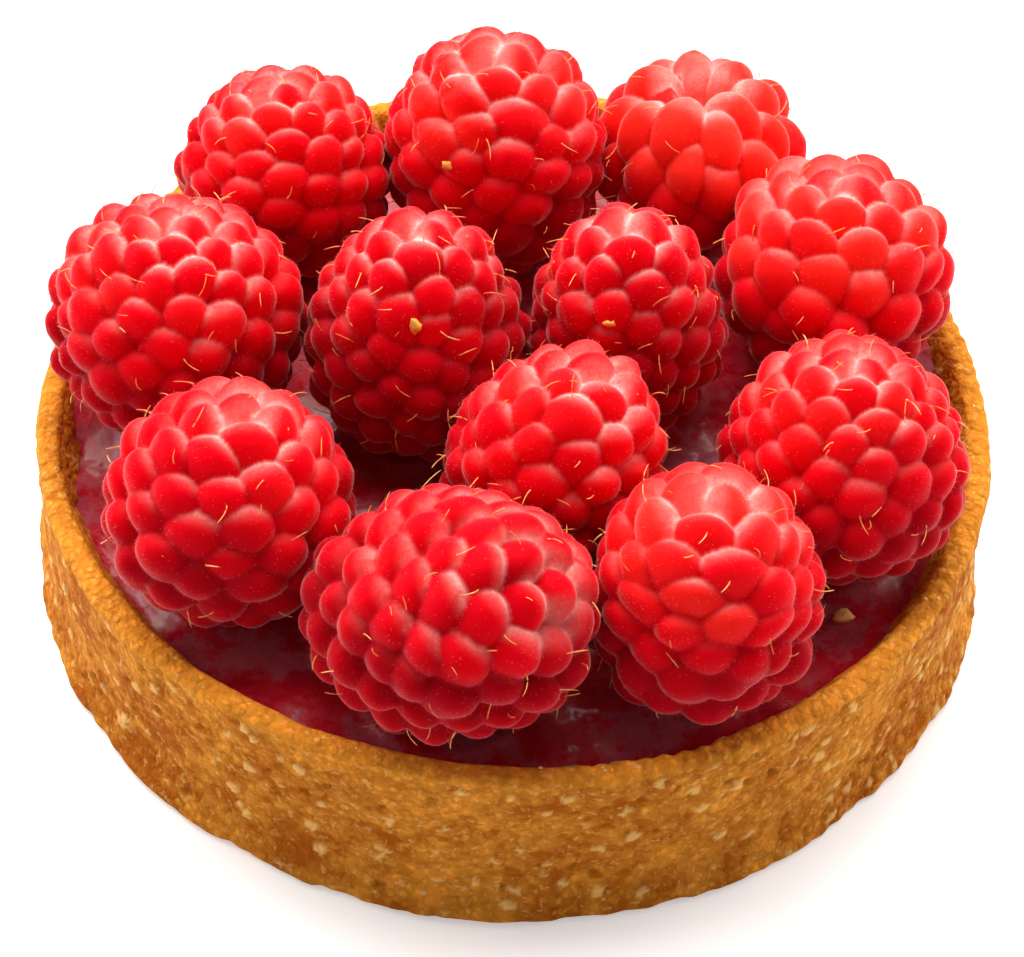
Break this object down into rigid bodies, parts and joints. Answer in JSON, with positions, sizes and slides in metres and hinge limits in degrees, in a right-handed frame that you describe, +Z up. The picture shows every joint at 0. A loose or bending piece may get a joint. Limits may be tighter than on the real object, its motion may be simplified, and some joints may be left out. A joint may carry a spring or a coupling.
{
  "type": "raspberry tart",
  "caption": "Round individual tart: straight-sided golden pastry case filled with glossy dark red jam and topped with whole raspberries.",
  "frame": {"origin": "centre of the case's flat underside, on the surface it stands on", "axes": "+Z up out of the case; -Y towards the side the tart is seen from, +X to the right of that view"},
  "size_m": [0.08, 0.08, 0.0351],
  "materials": {
    "pastry": "baked shortcrust, matt and grainy",
    "jam": "dark, wet and glossy",
    "raspberry": "juicy drupelets with a soft pale down",
    "raspberry_hair": "fine dry styles left on the fruit",
    "crumb": "dry crumbs and seeds"
  },
  "bodies": {
    "root": {"pastry_case": "pastry", "jam": "jam", "raspberry_back_left": "raspberry", "raspberry_back_mid": "raspberry", "raspberry_back_right": "raspberry", "raspberry_left": "raspberry", "raspberry_mid_left": "raspberry", "raspberry_mid_right": "raspberry", "raspberry_right": "raspberry", "raspberry_front_left": "raspberry", "raspberry_centre": "raspberry", "raspberry_front_right": "raspberry", "raspberry_front_mid": "raspberry", "raspberry_front_mid_right": "raspberry"}
  },
  "joints": []
}
